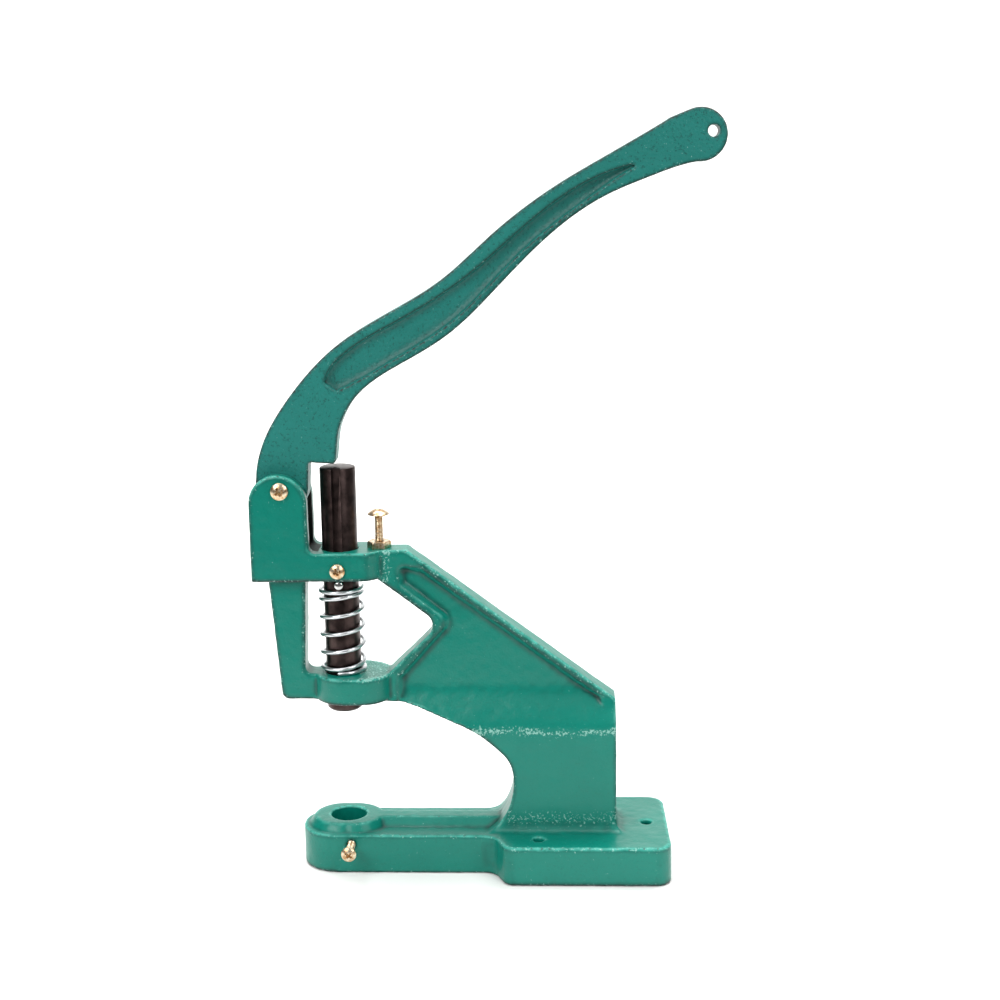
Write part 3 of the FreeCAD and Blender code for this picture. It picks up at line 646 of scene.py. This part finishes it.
# %% [markdown]
# ## Screws
# Four cross recess screws: the lever's pivot, the key screw, the stop screw and the
# clamp screw. A real head is turned, then a tapered cross is punched into it, so
# here a profile is spun and a tapered cross cut out of it. A fine even skin
# softens the punched rim, as plating does. The thread is a tube whose radius
# rises and falls along a slanted line, which is what a helix is once unrolled.

# %% Screw helpers
def cross_punch(name, span_mm, slot_mm, depth_mm):
    """A cross-shaped punch that narrows downwards from z = 0."""
    half, slot = span_mm / 2, slot_mm / 2
    outline = [(slot, half), (slot, slot), (half, slot),
               (half, -slot), (slot, -slot), (slot, -half),
               (-slot, -half), (-slot, -slot), (-half, -slot),
               (-half, slot), (-slot, slot), (-slot, half)]
    body = bmesh.new()
    levels = [(0.6, 1.06), (0.0, 1.0), (-depth_mm, 0.42)]
    rings = [[body.verts.new((x * size * MM, y * size * MM, z * MM)) for x, y in outline]
             for z, size in levels]
    join_rings(body, rings)
    body.faces.new(rings[0])
    body.faces.new(rings[-1][::-1])
    bmesh.ops.recalc_face_normals(body, faces=body.faces)
    return put_in_scene(name, mesh_from(body, name))


def thread_mesh(name, radius_mm, pitch_mm, low_mm, high_mm, sides=40, steps=8):
    """A threaded rod along Z: the radius falls and rises once for each pitch."""
    depth_mm = 0.55 * pitch_mm
    count = int((high_mm - low_mm) / pitch_mm * steps)
    body, rings = bmesh.new(), []
    for level in range(count + 1):
        z = low_mm + (high_mm - low_mm) * level / count
        ring = []
        for k in range(sides):
            share = (z / pitch_mm - k / sides) % 1
            r = radius_mm - depth_mm * min(1, 1.5 * abs(2 * share - 1))
            a = 2 * math.pi * k / sides
            ring.append(body.verts.new((r * MM * math.cos(a), r * MM * math.sin(a), z * MM)))
        rings.append(ring)
    join_rings(body, rings)
    body.faces.new(rings[0][::-1])
    body.faces.new(rings[-1])
    return mesh_from(body, name)


CROSS_SPAN, CROSS_SLOT, CROSS_DEPTH = 0.60, 0.17, 0.80
HEAD_SKIN_MM, HEAD_PASSES, SEAT_CHAMFER = 0.11, 2, 0.25


def cross_screw(name, head_d, head_h, rim_share, shank_d, shank_l, pitch, turn):
    """A cross recess screw, its seat at z = 0 and its thread below. turn is the cross's angle."""
    rim = head_h * rim_share
    ball = ((head_d / 2) ** 2 + (head_h - rim) ** 2) / (2 * (head_h - rim))
    reach = math.asin(min(1, head_d / 2 / ball))
    crown = [(ball * math.sin(reach * i / 10), head_h - ball + ball * math.cos(reach * i / 10))
             for i in range(11)]
    seat = [(0, 0), (head_d / 2 - SEAT_CHAMFER, 0), (head_d / 2, SEAT_CHAMFER)]
    head = turned(name, seat + crown[::-1][:-1] + [(0, head_h)])
    punch = cross_punch("punch", head_d * CROSS_SPAN, head_d * CROSS_SLOT, head_h * CROSS_DEPTH)
    punch.data.transform(Matrix.Translation((0, 0, head_h * MM)) @ Matrix.Rotation(turn, 4, "Z"))
    cut(head, punch)
    even_skin(head, HEAD_SKIN_MM)
    points, _ = soften(head, HEAD_PASSES)
    set_points(head, points)
    thread = thread_mesh("thread", shank_d / 2, pitch, -shank_l, 0.1)
    both = bmesh.new()
    both.from_mesh(head.data)
    both.from_mesh(thread)
    head.data = mesh_from(both, name)
    head.data.shade_smooth()
    return head


def face_front(screw, x, y, z):
    """Turns a screw's head towards the operator's side and puts its seat at this point."""
    facing_front = Matrix.Rotation(math.pi / 2, 4, "X")
    screw.data.transform(Matrix.Translation((x * MM, y * MM, z * MM)) @ facing_front)


def middle(node_name):
    low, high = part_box(node_name)
    return (low + high) / 2 / MM


# %% The four screws and the nut
HEAD_H, PAN_RIM, TRUSS_RIM = 2.6, 0.5, 0.12
# Node: piece, head and thread width, thread length, pitch, cross angle, body.
SIDE_SCREWS = {
    "pivot_screw": ("pivot_screw_m4", 7.8, 3.9, 25.0, 0.7, 0.5, "frame"),
    "key_screw": ("key_screw_m35", 6.8, 3.4, 6.3, 0.6, 0.35, "frame"),
    "clamp_screw": ("clamp_screw_m4", 6.8, 3.9, 17.8, 0.7, 0.9, "clamp_screw"),
}
for node_name, (name, head_d, shank_d, shank_l, pitch, turn, body) in SIDE_SCREWS.items():
    screw = cross_screw(name, head_d, HEAD_H, PAN_RIM, shank_d, shank_l, pitch, turn)
    seat_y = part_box(node_name)[0].y / MM + HEAD_H
    face_front(screw, middle(node_name).x, seat_y, middle(node_name).z)
    finish_piece(screw, yellow_zinc, body, node_name)

stop_low, stop_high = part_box("stop_screw")
stop_thread = (stop_high.z - stop_low.z) / MM - HEAD_H
stop = cross_screw("stop_screw_m4", 10.0, HEAD_H, TRUSS_RIM, 4.1, stop_thread, 0.7, 0.2)
stop_seat = (middle("stop_screw").x * MM, 0, stop_high.z - HEAD_H * MM)
stop.data.transform(Matrix.Translation(stop_seat))
finish_piece(stop, yellow_zinc, "stop_screw", "stop_screw")

NUT_SKIN_MM, NUT_PASSES = 0.12, 3
nut = even_skin(copy_of("stop_lock_nut", "lock_nut"), NUT_SKIN_MM)
points, _ = soften(nut, NUT_PASSES)
set_points(nut, points)
finish_piece(nut, yellow_zinc, "frame", "stop_lock_nut")
print("screws and nut are made")

# %% [markdown]
# ## Floor, light and camera
# A pale sweep runs from under the press up behind it, so there is no horizon. It
# ends a little in front of the press, since paper further forward would be
# mirrored in the front faces and wash out the green. A large soft light straight
# above gives the upper faces their pale sheen, and two soft boxes, the stronger
# one on the left, light the front. A fourth light only whitens the paper behind.
# The camera stands in front of the press, a little right of the ram, and looks
# down slightly.

# %% Sweep
SWEEP_HALF, SWEEP_FRONT, SWEEP_BEND, SWEEP_TOP = 3.0, -0.35, 1.6, 3.0
BELOW_PRESS, BEND_STEPS = 0.0003, 16
line = [(SWEEP_FRONT, 0.0), (SWEEP_BEND, 0.0)]
line += [(SWEEP_BEND + math.sin(a), 1 - math.cos(a))
         for a in (math.pi / 2 * i / BEND_STEPS for i in range(1, BEND_STEPS + 1))]
line.append((SWEEP_BEND + 1, SWEEP_TOP))
sweep_mesh = bpy.data.meshes.new("sweep")
corners = [(x, y, z - BELOW_PRESS) for y, z in line for x in (-SWEEP_HALF, SWEEP_HALF)]
sweep_mesh.from_pydata(corners, [], [(2 * i, 2 * i + 1, 2 * i + 3, 2 * i + 2)
                                     for i in range(len(line) - 1)])
sweep_mesh.shade_smooth()
sweep = put_in_scene("sweep", sweep_mesh)
paper, tree, place = new_finish("matt_white_paper_sweep")
fibres = add_node(tree, "ShaderNodeTexNoise", {
    "Vector": place, "Scale": features_of(1.5), "Detail": 3.0})
tooth = add_node(tree, "ShaderNodeBump", {
    "Height": fibres.outputs["Fac"], "Distance": 0.02 * MM})
show(tree, add_node(tree, "ShaderNodeBsdfPrincipled", {
    "Base Color": linear("#F7F7F5"), "Roughness": 0.9, "Normal": tooth.outputs["Normal"]}))
sweep.data.materials.append(paper)

# %% Light
def soft_box(name, place, target, width, height, power):
    """An oblong light in metres and watts, turned towards its target."""
    light = bpy.data.lights.new(name, "AREA")
    light.shape, light.size, light.size_y, light.energy = "RECTANGLE", width, height, power
    lamp = bpy.data.objects.new(name, light)
    lamp.location = place
    lamp.rotation_euler = (Vector(target) - Vector(place)).to_track_quat("-Z", "Y").to_euler()
    bpy.context.collection.objects.link(lamp)


soft_box("overhead", (0.05, 0.10, 1.3), (0.06, 0, 0.1), 1.4, 1.2, 17)
soft_box("front_left", (-0.8, -1.2, 1.1), (0.06, 0, 0.15), 0.9, 0.9, 20)
soft_box("front_right", (1.0, -1.0, 0.9), (0.06, 0, 0.15), 0.6, 0.9, 9)
soft_box("backdrop", (0.1, 0.5, 1.9), (0.1, 2.5, 0.5), 2.4, 0.8, 75)
world = bpy.data.worlds.new("studio")
world.use_nodes = True
sky = world.node_tree.nodes["Background"]
sky.inputs["Color"].default_value = linear("#F7F9FA")
# The room lights the press only weakly, but beyond the paper it still looks as
# pale as the paper does.
WEAK_LIGHT, AS_SEEN = 0.10, 1.05
seen = add_node(world.node_tree, "ShaderNodeLightPath", {}).outputs["Is Camera Ray"]
brightness = add_node(world.node_tree, "ShaderNodeMapRange", {
    "Value": seen, "To Min": WEAK_LIGHT, "To Max": AS_SEEN})
world.node_tree.links.new(brightness.outputs[0], sky.inputs["Strength"])
bpy.context.scene.world = world
bpy.context.scene.view_settings.view_transform = "Standard"

# %% Camera
EYE = Vector((0.08946, -0.70316, 0.31522))
YAW, PITCH, ROLL = -0.0633, 0.1853, -0.0231
forward = Vector((math.sin(YAW) * math.cos(PITCH), math.cos(YAW) * math.cos(PITCH),
                  -math.sin(PITCH)))
level = Vector((math.cos(YAW), -math.sin(YAW), 0))
upright = level.cross(forward)
right = level * math.cos(ROLL) + upright * math.sin(ROLL)
top = -level * math.sin(ROLL) + upright * math.cos(ROLL)
camera_data = bpy.data.cameras.new("studio_camera")
camera_data.lens, camera_data.sensor_width = 58.1, 36.0
camera_data.shift_x, camera_data.shift_y = 0.0622, -0.0299
camera_data.clip_start, camera_data.clip_end = 0.01, 20
camera = bpy.data.objects.new("studio_camera", camera_data)
camera.matrix_world = Matrix(((right.x, top.x, -forward.x, EYE.x),
                              (right.y, top.y, -forward.y, EYE.y),
                              (right.z, top.z, -forward.z, EYE.z), (0, 0, 0, 1)))
bpy.context.collection.objects.link(camera)
bpy.context.scene.camera = camera
